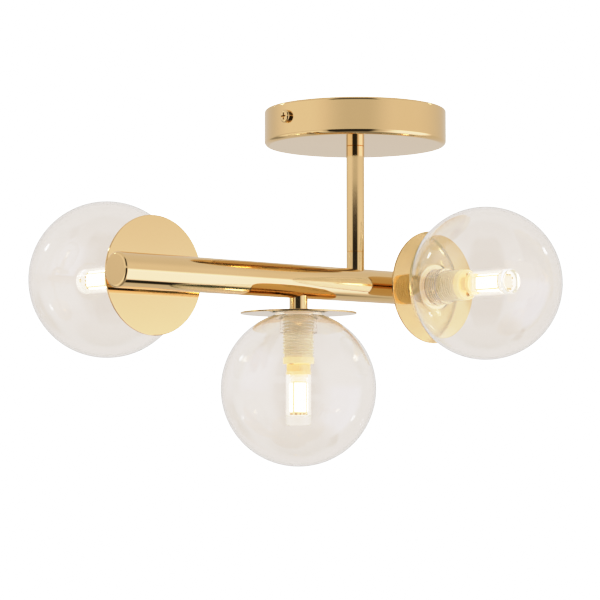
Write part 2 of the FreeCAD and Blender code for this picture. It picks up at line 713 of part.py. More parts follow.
per_lamp = {}
for lamp, place in lamps.items():
    face = shifted(place, num(PO))
    turned = place.multiply(Placement(Vector(0, 0, 0), Rotation(Vector(0, 0, 1), 90))) if lamp == "bottom" else place
    pins_face = shifted(turned, num(PO))

    washers.append(saddle_washer("saddle_washer_" + lamp, place))
    arm_nuts.append(nut("arm_nut_" + lamp, shifted(place, num(d["washer_flat"]) - num(d["nut_thick"]))))
    b = new_body("nipple_" + lamp, place)
    hollow(b, d["nipple_dia"], d["nipple_bore"], fixed(3.0), PO + 7.0, 0.5)
    nipples.append(b)

    # spacer between the arm tube and the backplate
    b = new_body("spacer_" + lamp, place)
    hollow(b, d["spacer_dia"], d["nipple_dia"], TR - 2.5, PO - PT)
    vol = volume_of(b)
    saddle(b, fixed(0), TR)
    cut_checked(b, vol)
    rounded(b, "seam", ring_edge(PO - PT, d["spacer_dia"] / 2), fixed(0.3), chamfer=True)
    keep(b)

    # round backplate
    b = new_body("backplate_" + lamp, place)
    PR = d["plate_dia"] / 2
    turn(b, "plate", [
        (d["nipple_dia"] / 2 + 0.1, PO - PT),
        (PR - 0.4, PO - PT),
        ("arc", PR - 0.4, PO - PT + 0.4, True),
        (PR, PO - PT + 0.4),
        (PR, PO - 0.4),
        ("arc", PR - 0.4, PO - 0.4, True),
        (PR - 0.4, PO),
        (d["nipple_dia"] / 2 + 0.1, PO),
    ])
    keep(b)

    # lampholder sleeve with its outside thread
    b = new_body("lampholder_" + lamp, face)
    SC = d["thread_core"] / 2
    turn(b, "sleeve", [
        (d["nipple_dia"] / 2 + 0.1, fixed(0)),
        (SC - 0.3, fixed(0)),
        (SC, fixed(0.3)),
        (SC, d["sleeve_len"]),
        (d["sleeve_bore"] / 2, d["sleeve_len"]),
        (d["sleeve_bore"] / 2, d["sleeve_floor"]),
        (d["nipple_dia"] / 2 + 0.1, d["sleeve_floor"]),
    ])
    doc.recompute()
    sk = new_sketch(b, "thread_outline", "XZ_Plane")
    W = d["thread_start"]
    outline(sk, [
        (SC - 0.2, W - 0.6),
        (d["thread_crest"] / 2, W - 0.25),
        (d["thread_crest"] / 2, W + 0.25),
        (SC - 0.2, W + 0.6),
    ])
    hx = b.newObject("PartDesign::AdditiveHelix", "thread")
    hx.Profile = sk
    hx.ReferenceAxis = (sk, ["V_Axis"])
    hx.Mode = 0
    drive(hx, "Pitch", d["thread_pitch"])
    drive(hx, "Height", d["thread_rise"])
    hx.Angle = 0
    hx.Growth = 0
    hx.LeftHanded = False
    hx.Reversed = False
    keep(b)
    holder_nuts.append(nut("holder_nut_" + lamp, shifted(face, num(d["sleeve_floor"])), d["nut_thick"], d["nut_flats"] - 0.8))

    # ceramic insert with two contact slots, its rim is the plain ring at the end
    b = new_body("lampholder_insert_" + lamp, pins_face)
    SL = d["sleeve_len"]
    IR = d["insert_dia"] / 2
    top = SL + d["insert_ring"]
    turn(b, "insert", [
        (fixed(0), d["insert_low"]),
        (d["sleeve_bore"] / 2 - 0.1, d["insert_low"]),
        (d["sleeve_bore"] / 2 - 0.1, SL),
        (IR, SL),
        (IR, top - 0.5),
        ("arc", IR - 0.5, top - 0.5, True),
        (IR - 0.5, top),
        (fixed(0), top),
    ])
    vol = volume_of(b)
    sk = new_sketch(b, "slots_outline", "XY_Plane", lift=top)
    G = d["pin_gap"] / 2
    for side in (-1.0, 1.0):
        outline(sk, [
            (G * side - 1.75, fixed(-1.1)),
            (G * side + 1.75, fixed(-1.1)),
            (G * side + 1.75, fixed(1.1)),
            (G * side - 1.75, fixed(1.1)),
        ])
    pad(b, "slots", sk, fixed(20.0), cut=True)
    vol = cut_checked(b, vol)
    sk = new_sketch(b, "rivet_holes_outline", "XY_Plane", lift=top)
    for side in (-1.0, 1.0):
        circle(sk, fixed(0), d["rivet_out"] * side, fixed(2.4))
    pad(b, "rivet_holes", sk, fixed(3.4), cut=True)
    cut_checked(b, vol)
    keep(b)
    for n, side in enumerate((-1.0, 1.0), start=1):
        r = new_body("rivet_%s_%d" % (lamp, n), pins_face.multiply(Placement(Vector(0, num(d["rivet_out"]) * side, num(top)), Rotation())))
        turn(r, "rivet", [
            (fixed(0.8), fixed(-3.4)),
            (fixed(1.2), fixed(-3.4)),
            (fixed(1.2), fixed(0)),
            (fixed(1.75), fixed(0)),
            (fixed(1.75), fixed(0.15)),
            ("arc", fixed(1.45), fixed(0.15), True),
            (fixed(1.45), fixed(0.45)),
            (fixed(1.1), fixed(0.45)),
            (fixed(0.8), fixed(0.15)),
        ])
        rivets.append(r)

    # spring contacts, one clip for each pin
    clips = []
    for n, side in enumerate((-1.0, 1.0), start=1):
        c = new_body("contact_%s_%d" % (lamp, n), pins_face)
        sk = new_sketch(c, "clip_outline", "YZ_Plane", lift=G * side - 1.5)
        outline(sk, [
            (fixed(-0.9), fixed(12.0)),
            (fixed(0.9), fixed(12.0)),
            (fixed(0.9), fixed(27.0)),
            (fixed(0.5), fixed(27.0)),
            (fixed(0.5), fixed(12.6)),
            (fixed(-0.5), fixed(12.6)),
            (fixed(-0.5), fixed(27.0)),
            (fixed(-0.9), fixed(27.0)),
        ])
        pad(c, "clip", sk, fixed(3.0))
        doc.recompute()
        sk = new_sketch(c, "foot_outline", "XY_Plane", lift=fixed(11.0))
        x0, x1 = (0.7, 6.2) if side > 0 else (-6.2, -0.7)
        outline(sk, [(fixed(x0), fixed(-2.2)), (fixed(x1), fixed(-2.2)), (fixed(x1), fixed(2.2)), (fixed(x0), fixed(2.2))])
        pad(c, "foot", sk, fixed(1.0))
        clips.append(c)
    group("holder_contacts_" + lamp, clips)

    # silicone gasket between the plate and the globe's mouth
    b = new_body("gasket_" + lamp, face)
    hollow(b, d["gasket_dia"], fixed(21.0), fixed(0.15), fixed(0.75))
    keep(b)

    # glass globe with its mouth folded in to a threaded neck
    b = new_body("globe_" + lamp, face)
    GR = d["globe_dia"] / 2
    GI = GR - d["globe_wall"]
    GO = d["globe_out"]
    LG = d["lip_gap"]
    lip_r = root_of(GR * GR - (GO - LG) * (GO - LG))
    inner_z = LG + 1.6
    inner_r = root_of(GI * GI - (GO - inner_z) * (GO - inner_z))
    NB = d["neck_bore"] / 2
    NO = d["neck_dia"] / 2
    NL = d["neck_len"]
    turn(b, "glass", [
        (lip_r, LG),
        ("arc", fixed(0), GO, True),
        (fixed(0), GO + GR),
        (fixed(0), GO + GI),
        ("arc", fixed(0), GO, False),
        (inner_r, inner_z),
        (NO + 0.8, inner_z),
        ("arc", NO + 0.8, inner_z + 0.8, False),
        (NO, inner_z + 0.8),
        (NO, NL - 0.6),
        ("arc", NO - 0.6, NL - 0.6, True),
        (NO - 0.6, NL),
        (NB + 0.4, NL),
        ("arc", NB + 0.4, NL - 0.4, True),
        (NB, NL - 0.4),
        (NB, LG + 0.8),
        ("arc", NB + 0.8, LG + 0.8, True),
        (NB + 0.8, LG),
    ])
    doc.recompute()
    rounded(b, "lip", ring_edge(LG, lip_r), fixed(0.7))
    doc.recompute()
    sk = new_sketch(b, "thread_outline", "XZ_Plane")
    V = W + d["thread_pitch"] * 0.5 + d["thread_pitch"]
    outline(sk, [
        (d["neck_crest"] / 2, V - 0.2),
        (NB + 0.15, V - 0.5),
        (NB + 0.15, V + 0.5),
        (d["neck_crest"] / 2, V + 0.2),
    ])
    hx = b.newObject("PartDesign::AdditiveHelix", "thread")
    hx.Profile = sk
    hx.ReferenceAxis = (sk, ["V_Axis"])
    hx.Mode = 0
    drive(hx, "Pitch", d["thread_pitch"])
    drive(hx, "Height", d["neck_rise"] - 1.0)
    hx.Angle = 0
    hx.Growth = 0
    hx.LeftHanded = False
    hx.Reversed = False
    keep(b)

    # capsule bulb: base, two flat pins, clear capsule and the lit core inside
    BS, BN, BE = d["bulb_seat"], d["bulb_neck"], d["bulb_end"]
    BR = d["bulb_base_dia"] / 2
    CR = d["bulb_dia"] / 2
    CI = CR - d["bulb_wall"]
    b = new_body("bulb_base_" + lamp, pins_face)
    sk = new_sketch(b, "foot_outline", "XY_Plane", lift=BS)
    BK = d["bulb_base_thick"] / 2
    BX = root_of(BR * BR - BK * BK)
    outline(sk, [
        (-BX, -BK),
        (BX, -BK),
        ("arc", fixed(0), fixed(0), True),
        (BX, BK),
        (-BX, BK),
        ("arc", fixed(0), fixed(0), True),
    ])
    pad(b, "foot", sk, BN - BS)
    doc.recompute()
    low = num(BS)
    rounded(b, "foot_edge", lambda e: e.BoundBox.ZMax < low + 1e-3, fixed(0.5))
    doc.recompute()
    sk = new_sketch(b, "collar_outline", "XY_Plane", lift=BN)
    circle(sk, fixed(0), fixed(0), CI * 2)
    pad(b, "collar", sk, fixed(2.0))
    doc.recompute()
    vol = volume_of(b)
    sk = new_sketch(b, "pin_slots", "XY_Plane", lift=BS)
    for side in (-1.0, 1.0):
        outline(sk, [
            (G * side - 1.3, fixed(-0.4)),
            (G * side + 1.3, fixed(-0.4)),
            (G * side + 1.3, fixed(0.4)),
            (G * side - 1.3, fixed(0.4)),
        ])
    pad(b, "pin_pockets", sk, fixed(2.0), back=True, cut=True)
    cut_checked(b, vol)
    keep(b)

    pins = []
    for n, side in enumerate((-1.0, 1.0), start=1):
        c = new_body("pin_%s_%d" % (lamp, n), pins_face)
        sk = new_sketch(c, "pin_outline", "XZ_Plane", lift=fixed(-0.4))
        mid = G * side
        low = BS - 14.0
        outline(sk, [
            (mid - 1.3, BS + 2.0),
            (mid - 1.3, low + 1.3),
            ("arc", mid, low + 1.3, True),
            (mid + 1.3, low + 1.3),
            (mid + 1.3, BS + 2.0),
        ])
        outline(sk, [
            (mid - 0.5, BS - 0.5),
            (mid - 0.5, low + 1.3),
            ("arc", mid, low + 1.3, True),
            (mid + 0.5, low + 1.3),
            (mid + 0.5, BS - 0.5),
        ])
        pad(c, "pin", sk, fixed(0.8))
        pins.append(c)
    group("bulb_pins_" + lamp, pins)

    b = new_body("bulb_capsule_" + lamp, pins_face)
    turn(b, "capsule", [
        (CI, BN),
        (CR, BN),
        (CR, BE - 1.2),
        ("arc", CR - 1.2, BE - 1.2, True),
        (CR - 1.2, BE),
        (fixed(0), BE),
        (fixed(0), BE - 5.5),
        (CI - 1.0, BE - 5.5),
        ("arc", CI - 1.0, BE - 6.5, False),
        (CI, BE - 6.5),
    ])
    keep(b)

    # square light core with raised light panels
    b = new_body("bulb_led_" + lamp, pins_face)
    sk = new_sketch(b, "core_outline", "XY_Plane", lift=BN + 2.0)
    outline(sk, [(fixed(-3.6), fixed(-3.6)), (fixed(3.6), fixed(-3.6)), (fixed(3.6), fixed(3.6)), (fixed(-3.6), fixed(3.6))])
    pad(b, "core", sk, fixed(24.0))
    doc.recompute()
    for n, (role, sign) in enumerate((("XZ_Plane", 1.0), ("XZ_Plane", -1.0), ("YZ_Plane", 1.0), ("YZ_Plane", -1.0)), start=1):
        sk = new_sketch(b, "panel_outline_%d" % n, role, lift=fixed(3.5 * sign))
        outline(sk, [(fixed(-2.6), BN + 4.0), (fixed(2.6), BN + 4.0), (fixed(2.6), BN + 25.0), (fixed(-2.6), BN + 25.0)])
        pad(b, "panel_%d" % n, sk, fixed(0.9), back=(sign < 0))
        doc.recompute()
    sk = new_sketch(b, "top_outline", "XY_Plane", lift=BN + 25.9)
    outline(sk, [(fixed(-2.6), fixed(-2.6)), (fixed(2.6), fixed(-2.6)), (fixed(2.6), fixed(2.6)), (fixed(-2.6), fixed(2.6))])
    pad(b, "top_panel", sk, fixed(0.9))
    keep(b)

group("saddle_washers", washers)
group("arm_nuts", arm_nuts)
group("lamp_nipples", nipples)
group("holder_nuts", holder_nuts)
group("holder_rivets", rivets)


# ------------------------------------------------------------ internal leads
def lead(points, radius, wire_d):
    """A lead along straight runs joined by tangent arcs."""
    pts = [Vector(*q) for q in points]
    edges, last = [], pts[0]
    length = 0.0
    for a, b2, c in zip(pts, pts[1:], pts[2:]):
        u = (b2 - a).normalize()
        v = (c - b2).normalize()
        angle = u.getAngle(v)
        cut = radius * math.tan(angle / 2)
        cut = min(cut, 0.45 * (b2 - a).Length, 0.45 * (c - b2).Length)
        p1 = b2 - u * cut
        p2 = b2 + v * cut
        r = cut / math.tan(angle / 2)
        middle = (v - u).normalize()
        centre = b2 + middle * math.hypot(r, cut)
        pm = centre - middle * r
        if (p1 - last).Length > 1e-6:
            edges.append(Part.LineSegment(last, p1).toShape())
            length += (p1 - last).Length
        edges.append(Part.Arc(p1, pm, p2).toShape())
        length += r * angle
        last = p2
    edges.append(Part.LineSegment(last, pts[-1]).toShape())
    length += (pts[-1] - last).Length
    path = Part.Wire(edges)
    start = (pts[1] - pts[0]).normalize()
    ring = Part.Wire([Part.Circle(pts[0], start, wire_d / 2).toShape()])
    solid = path.makePipeShell([ring], True, False)
    if solid.ShapeType != "Solid":
        solid = Part.Solid(solid) if solid.ShapeType == "Shell" else solid.Solids[0]
    if solid.Volume < 0:
        solid.reverse()
    want = length * math.pi * (wire_d / 2) ** 2
    if abs(solid.Volume / want - 1) > 0.02:
        raise RuntimeError("a lead's volume is %.2f, not %.2f" % (solid.Volume, want))
    return solid


def cell(alias):
    """A size as the sheet holds it."""
    return float(sheet.get(alias))


wd = cell("wire_dia")
zt = -cell("tube_z")
step = cell("lamp_step")
mid = -cell("tube_mid")
out = cell("plate_out") + 11.0
for lamp in ("left", "right", "bottom"):
    solids = []
    for s in (1.0, -1.0):
        if lamp == "left":
            head = [(-19, s * 6.18, -8.5), (-11, s * 6.18, -8.5), (-2.25, s * 1.3, -8.5), (-2.25, s * 1.3, zt)]
            tail = [(mid - step + 1.3 * s, s * 1.3, zt), (mid - step + 1.3 * s, out, zt)]
        elif lamp == "right":
            head = [(-19, s * 7.0, -6.9), (-11, s * 7.0, -6.9), (2.25, s * 1.3, -6.9), (2.25, s * 1.3, zt)]
            tail = [(mid + step + 1.3 * s, s * 1.3, zt), (mid + step + 1.3 * s, -out, zt)]
        else:
            head = [(-19, s * 7.82, -8.5), (-11, s * 7.82, -8.5), (0, s * 2.9, -8.5), (0, s * 2.9, zt)]
            tail = [(mid, s * 2.9, zt), (mid, s * 2.9, zt - out)]
        solids.append(lead(head + tail, 3.0, wd))
    f = doc.addObject("Part::Feature", "leads_" + lamp)
    f.Shape = Part.makeCompound(solids)
    f.Placement = Placement()
    keep(f, "leads_" + lamp)
f = doc.addObject("Part::Feature", "earth_lead")
f.Shape = lead([(cell("earth_x") - 6.0, 0, -3.0), (0.0, 0, -3.6), (-8.0, 0, -8.0), (-19.0, 0, -8.0)], 4.0, wd)
f.Placement = Placement()
keep(f, "earth_lead")

# ------------------------------------------------------------ checks and export
doc.recompute()
bad = [o.Name for o in doc.Objects if "Invalid" in o.State or "Error" in o.State]
if bad:
    raise RuntimeError("failed objects: %s" % bad)
names = [o.Label for o in outputs]
if len(set(names)) != len(names) or len(names) > 60:
    raise RuntimeError("node names: %d, %s" % (len(names), sorted(n for n in names if names.count(n) > 1)))
for o in outputs:
    if o.Shape.isNull() or not o.Shape.isValid() or not o.Shape.Solids:
        raise RuntimeError("bad shape: " + o.Label)
os.makedirs("parts", exist_ok=True)
for o in outputs:
    o.Shape.exportStep(os.path.join("parts", o.Label + ".step"))
print("%d parts written" % len(outputs))
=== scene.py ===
import math

import bpy
from mathutils import Matrix, Vector


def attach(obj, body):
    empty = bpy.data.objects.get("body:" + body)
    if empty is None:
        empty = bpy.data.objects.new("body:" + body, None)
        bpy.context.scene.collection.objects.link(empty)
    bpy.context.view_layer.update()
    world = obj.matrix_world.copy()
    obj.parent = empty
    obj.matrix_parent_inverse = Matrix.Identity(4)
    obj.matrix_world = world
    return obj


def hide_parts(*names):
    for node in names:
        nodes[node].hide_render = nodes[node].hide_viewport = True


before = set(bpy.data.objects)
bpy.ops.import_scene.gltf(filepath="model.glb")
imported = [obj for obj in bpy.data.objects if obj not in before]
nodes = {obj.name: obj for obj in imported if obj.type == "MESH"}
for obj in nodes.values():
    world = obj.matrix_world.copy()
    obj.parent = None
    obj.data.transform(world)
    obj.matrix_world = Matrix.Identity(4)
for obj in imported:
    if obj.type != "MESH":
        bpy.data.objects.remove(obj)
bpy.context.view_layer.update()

scene = bpy.context.scene
LAMPS = ("left", "right", "bottom")


# ------------------------------------------------------------------ camera
AZ, CAM_Z, DIST = 42.936, -0.221381, 1.433937
FOCAL_PX, YAW, PITCH = 2182.835, -1.459, 3.817

az = math.radians(AZ)
yaw = math.radians(AZ + YAW)
pit = math.radians(PITCH)
eye = Vector((-math.sin(az) * DIST, -math.cos(az) * DIST, CAM_Z))
look = Vector((math.sin(yaw) * math.cos(pit), math.cos(yaw) * math.cos(pit), math.sin(pit)))
cam_data = bpy.data.cameras.new("camera")
cam_data.sensor_width = 36.0
cam_data.sensor_fit = "HORIZONTAL"
cam_data.lens = FOCAL_PX / 600.0 * 36.0
cam_data.clip_start = 0.05
cam_data.clip_end = 60.0
cam = bpy.data.objects.new("camera", cam_data)
scene.collection.objects.link(cam)
cam.location = eye
cam.rotation_euler = look.to_track_quat("-Z", "Y").to_euler()
scene.camera = cam


# ------------------------------------------------------------------ node helpers
class Mat:
    """A short way to write a node material."""

    def __init__(self, name):
        self.m = bpy.data.materials.new(name)
        self.m.use_nodes = True
        self.t = self.m.node_tree
        self.t.nodes.clear()
        self.out = self.t.nodes.new("ShaderNodeOutputMaterial")
        self.co = None

    def node(self, kind, **inputs):
        n = self.t.nodes.new(kind)
        for key, value in inputs.items():
            setattr(n, key, value)
        return n

    def link(self, a, b):
        self.t.links.new(a, b)

    def coords(self):
        if self.co is None:
            self.co = self.node("ShaderNodeTexCoord")
        return self.co.outputs["Object"]

    def noise(self, scale, detail=3.0, rough=0.5, stretch=None, distortion=0.0):
        n = self.node("ShaderNodeTexNoise")
        n.inputs["Scale"].default_value = scale
        n.inputs["Detail"].default_value = detail
        n.inputs["Roughness"].default_value = rough
        n.inputs["Distortion"].default_value = distortion
        source = self.coords()
        if stretch:
            mp = self.node("ShaderNodeMapping")
            mp.inputs["Scale"].default_value = stretch
            self.link(source, mp.inputs["Vector"])
            source = mp.outputs["Vector"]
        self.link(source, n.inputs["Vector"])
        return n.outputs["Fac"]

    def ramp(self, fac, stops, mode="LINEAR"):
        r = self.node("ShaderNodeValToRGB")
        r.color_ramp.interpolation = mode
        els = r.color_ramp.elements
        while len(els) > 1:
            els.remove(els[-1])
        els[0].position, els[0].color = stops[0][0], (*stops[0][1], 1.0)
        for pos, col in stops[1:]:
            e = els.new(pos)
            e.color = (*col, 1.0)
        self.link(fac, r.inputs["Fac"])
        return r.outputs["Color"]

    def remap(self, fac, a, b, c=0.0, d=1.0):
        r = self.node("ShaderNodeMapRange")
        r.inputs["From Min"].default_value = c
        r.inputs["From Max"].default_value = d
        r.inputs["To Min"].default_value = a
        r.inputs["To Max"].default_value = b
        self.link(fac, r.inputs["Value"])
        return r.outputs["Result"]

    def bump(self, height, strength, distance):
        b = self.node("ShaderNodeBump")
        b.inputs["Strength"].default_value = strength
        b.inputs["Distance"].default_value = distance
        self.link(height, b.inputs["Height"])
        return b.outputs["Normal"]

    def principled(self, **values):
        p = self.node("ShaderNodeBsdfPrincipled")
        for key, value in values.items():
            name = key.replace("_", " ")
            if hasattr(value, "is_output"):
                self.link(value, p.inputs[name])
            else:
                p.inputs[name].default_value = value
        self.link(p.outputs["BSDF"], self.out.inputs["Surface"])
        return p


def paint(obj, mat):
    obj.data.materials.clear()
    obj.data.materials.append(mat)


# ------------------------------------------------------------------ materials
def gold(name, base=(0.80, 0.557, 0.276), low=0.035, high=0.085):
    """Mirror-polished plating: faint haze, hairline polishing marks and a little colour drift."""
    m = Mat(name)
    haze = m.noise(26.0, 4.0, 0.55)
    fine = m.noise(900.0, 2.0, 0.5)
    tone = m.ramp(m.noise(14.0, 2.0, 0.5), [
        (0.3, (base[0] * 0.985, base[1] * 0.975, base[2] * 0.95)),
        (0.7, (min(1.0, base[0] * 1.012), base[1] * 1.015, base[2] * 1.03)),
    ])
    m.principled(
        Base_Color=tone,
        Metallic=1.0,
        Roughness=m.remap(haze, low, high, 0.3, 0.7),
        Normal=m.bump(fine, 0.02, 0.00002),
        Specular_Tint=(1.0, 1.0, 1.0, 1.0),
    )
    return m.m


def steel(name, tone=(0.62, 0.63, 0.64), rough=0.32):
    m = Mat(name)
    grain = m.noise(220.0, 3.0, 0.6)
    m.principled(
        Base_Color=m.ramp(grain, [(0.3, tuple(c * 0.86 for c in tone)), (0.7, tone)]),
        Metallic=1.0,
        Roughness=m.remap(grain, rough - 0.08, rough + 0.08, 0.3, 0.7),
        Normal=m.bump(m.noise(600.0, 2.0), 0.08, 0.00005),
    )
    return m.m


def moulded(name, tone, rough=0.34, shade=0.94, sub=0.0, scale=60.0, painted_glow=(1.0, 1.0, 1.0), lamp=0.0):
    """Ceramic or moulded plastic with a slight mottle and a satin skin. painted_glow at strength lamp is a painted
    glow (emission) standing in for the bulb's light falling on the part.
    """
    m = Mat(name)
    mottle = m.noise(scale, 4.0, 0.6)
    m.principled(
        Base_Color=m.ramp(mottle, [(0.3, tuple(c * shade for c in tone)), (0.7, tone)]),
        Roughness=m.remap(m.noise(180.0, 3.0), rough - 0.06, rough + 0.08, 0.3, 0.7),
        Normal=m.bump(m.noise(480.0, 3.0), 0.06, 0.00006),
        IOR=1.5,
        Subsurface_Weight=sub,
        Subsurface_Radius=(0.004, 0.003, 0.002),
        Subsurface_Scale=1.0,
        # painted glow: emission that stands in for the bulb's light on this part, not a lamp
        Emission_Color=m.ramp(mottle, [(0.3, tuple(c * shade for c in painted_glow)), (0.7, painted_glow)]),
        Emission_Strength=lamp,
    )
    return m.m


def clear(name, tint, rough=0.0, ior=1.47, painted_glow=(1.0, 1.0, 1.0), lamp=0.0, neck=None):
    """Clear glass with very faint flow lines. painted_glow at strength lamp is a painted glow (emission) over the
    glass; with a neck given, the painted glow turns warm and stronger round it, where the lit bulb shows in the glass
    of the thread.
    """
    m = Mat(name)
    colour = m.ramp(m.noise(160.0, 2.0, 0.5), [(0.3, tuple(c * 0.9 for c in painted_glow)), (0.7, painted_glow)])
    # painted glow round the neck: warmer, stronger emission within about 14 to 18 mm of the neck's centre
    if neck is not None:
        far = m.node("ShaderNodeVectorMath", operation="DISTANCE")
        m.link(m.coords(), far.inputs[0])
        far.inputs[1].default_value = neck
        painted_neck_glow = m.remap(far.outputs["Value"], 1.0, 0.0, 0.0138, 0.0180)
        mix = m.node("ShaderNodeMix", data_type="RGBA")
        m.link(painted_neck_glow, mix.inputs["Factor"])
        m.link(colour, mix.inputs[6])
        mix.inputs[7].default_value = (1.0, 0.84, 0.74, 1.0)
        colour = mix.outputs[2]
        lamp = m.remap(painted_neck_glow, lamp, 0.018)
    m.principled(
        Base_Color=m.ramp(m.noise(9.0, 2.0, 0.5), [(0.35, tuple(c * 0.995 for c in tint)), (0.65, tint)]),
        Roughness=rough,
        IOR=ior,
        Transmission_Weight=1.0,
        Normal=m.bump(m.noise(22.0, 2.0, 0.4, stretch=(1.0, 1.0, 1.0)), 0.012, 0.0004),
        Emission_Color=colour,
        Emission_Strength=lamp,
    )
    return m.m


def lit(name):
    """Warm white light panels, a little uneven in colour and brightness."""
    m = Mat(name)
    cells = m.noise(420.0, 2.0, 0.5)
    m.principled(
        Base_Color=(1.0, 0.93, 0.78, 1.0),
        Roughness=0.5,
        Emission_Color=m.ramp(cells, [(0.3, (1.0, 0.84, 0.60)), (0.7, (1.0, 0.91, 0.74))]),
        Emission_Strength=2.0,
    )
    return m.m


GOLD = gold("polished_gold")
PLATE = gold("polished_gold_plate", low=0.03, high=0.07)
STEEL = steel("zinc_steel")
BRASS = steel("contact_brass", (0.78, 0.60, 0.30), 0.26)
EYELET = steel("eyelet_brass", (0.80, 0.66, 0.40), 0.22)
# Painted glow: the holder, its ceramic insert and the bulb base emit warm light that stands in for the bulb's light
# falling on them.
HOLDER = moulded("holder_cream", (0.80, 0.74, 0.56), 0.36, sub=0.1, painted_glow=(1.0, 0.68, 0.38), lamp=0.115)
CERAMIC = moulded("holder_ceramic", (0.90, 0.73, 0.48), 0.3, sub=0.15, painted_glow=(1.0, 0.60, 0.26), lamp=0.30)
BULB_BASE = moulded("bulb_cream", (0.92, 0.66, 0.38), 0.34, sub=0.2, painted_glow=(1.0, 0.52, 0.18), lamp=0.26)
WHITE = moulded("terminal_white", (0.82, 0.82, 0.79), 0.4)
BLACK = moulded("bush_black", (0.02, 0.02, 0.02), 0.45, shade=0.8)
SLEEVE = moulded("lead_sleeving", (0.80, 0.78, 0.72), 0.6, shade=0.86, scale=900.0)
EARTH = moulded("earth_sleeving", (0.30, 0.50, 0.06), 0.5, shade=0.8, scale=300.0)
# Painted glow on the globes: faint green-tinted emission all over the glass, warm and stronger round each neck.
GLASS = {
    lamp: clear("globe_glass_" + lamp, (0.985, 0.966, 0.944), painted_glow=(0.35, 1.0, 0.78), lamp=0.007, neck=at)
    for lamp, at in (("left", (-0.1515, 0.0278, -0.116)), ("right", (0.0515, -0.0278, -0.116)), ("bottom", (-0.05, 0.0, -0.1438)))
}
# Painted glow: the capsule and the gasket emit warm light that stands in for the bulb's light scattered in them.
CAPSULE = clear("bulb_clear", (0.99, 0.985, 0.97), rough=0.02, painted_glow=(1.0, 0.86, 0.66), lamp=0.07)
SILICONE = clear("clear_silicone", (0.97, 0.96, 0.93), rough=0.12, ior=1.41, painted_glow=(1.0, 0.9, 0.75), lamp=0.07)
LIT = lit("bulb_lit")
# Painted glow: the core, collar and small parts emit light that stands in for the LED panels' light falling on them.
CORE = moulded("bulb_core", (0.50, 0.34, 0.10), 0.5, shade=0.88, scale=500.0, painted_glow=(1.0, 0.68, 0.32), lamp=0.38)
COLLAR = moulded("bulb_collar", (0.80, 0.66, 0.48), 0.45, shade=0.95, scale=300.0, painted_glow=(1.0, 0.68, 0.44), lamp=0.24)
PARTS = moulded("bulb_parts", (0.42, 0.20, 0.06), 0.4, shade=0.7, scale=700.0, painted_glow=(1.0, 0.50, 0.20), lamp=0.10)

for n, o in nodes.items():
    mat = GOLD
    if n.startswith("backplate_"):
        mat = PLATE
    elif n in ("ceiling_bracket", "stem_nipple_top", "canopy_nut", "canopy_lock_washer", "stem_nipple_bottom",
               "saddle_washers", "arm_nuts", "lamp_nipples", "holder_nuts", "earth_tag", "terminal_screws") or n.startswith("bulb_pins"):
        mat = STEEL
    elif n in ("terminal_contacts", "earth_screw") or n.startswith("holder_contacts"):
        mat = BRASS
    elif n == "holder_rivets":
        mat = EYELET
    elif n.startswith("lampholder_insert"):
        mat = CERAMIC
    elif n.startswith("lampholder_"):
        mat = HOLDER
    elif n.startswith("bulb_base"):
        mat = BULB_BASE
    elif n.startswith("bulb_capsule"):
        mat = CAPSULE
    elif n.startswith("bulb_led"):
        mat = LIT
    elif n.startswith("globe_"):
        mat = GLASS[n[6:]]
    elif n.startswith("gasket_"):
        mat = SILICONE
    elif n == "terminal_block":
        mat = WHITE
    elif n == "wire_bush":
        mat = BLACK
    elif n == "earth_lead":
        mat = EARTH
    elif n.startswith("leads_"):
        mat = SLEEVE
    paint(o, mat)


# ------------------------------------------------------------------ light cores of the bulbs
import bmesh

# Each core is drawn in its lamp's own frame, in millimetres: +Z out along the lamp, 0 at the backplate.
LAMP_FRAMES = {
    "left": (Vector((-0.1515, 0.021, -0.116)), Vector((0.0, 1.0, 0.0)), Vector((1.0, 0.0, 0.0)), 0.0),
    "right": (Vector((0.0515, -0.021, -0.116)), Vector((0.0, -1.0, 0.0)), Vector((1.0, 0.0, 0.0)), 0.0),
    "bottom": (Vector((-0.05, 0.0, -0.137)), Vector((0.0, 0.0, -1.0)), Vector((1.0, 0.0, 0.0)), 29.0),
}


def lamp_matrix(lamp):
    """Places a drawing in millimetres in the lamp's own frame."""
    at, out, side, angle = LAMP_FRAMES[lamp]
    side = Matrix.Rotation(math.radians(angle), 3, out) @ side
    third = out.cross(side)
    m = Matrix((
        (side.x, third.x, out.x),
        (side.y, third.y, out.y),
        (side.z, third.z, out.z),
    )).to_4x4()
    m.translation = at
    return m @ Matrix.Scale(0.001, 4)


def block(bm, lo, hi, edge, turn_z=0.0):
    """One block with softened edges, turned about the lamp's axis."""
    made = bmesh.ops.create_cube(bm, size=1.0)["verts"]
    mid = [(a + b) / 2.0 for a, b in zip(lo, hi)]
    spin = Matrix.Rotation(math.radians(turn_z), 4, "Z")
    for v in made:
        p = Vector([m + c * (b - a) for m, c, a, b in zip(mid, v.co, lo, hi)])
        v.co = spin @ p
    edges = list({e for v in made for e in v.link_edges})
    bmesh.ops.bevel(bm, geom=edges, offset=edge, segments=2, profile=0.6, affect="EDGES", clamp_overlap=True)


def core_piece(name, lamp, mat, blocks, stands_for=False):
    bm = bmesh.new()
    for lo, hi, edge, turn_z in blocks:
        block(bm, lo, hi, edge, turn_z)
    bmesh.ops.recalc_face_normals(bm, faces=bm.faces)
    bm.transform(lamp_matrix(lamp))
    me = bpy.data.meshes.new(name)
    bm.to_mesh(me)
    bm.free()
    ob = bpy.data.objects.new(name, me)
    scene.collection.objects.link(ob)
    paint(ob, mat)
    if stands_for:
        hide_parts("bulb_led_" + lamp)
    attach(ob, "bulb_" + lamp)
    return ob


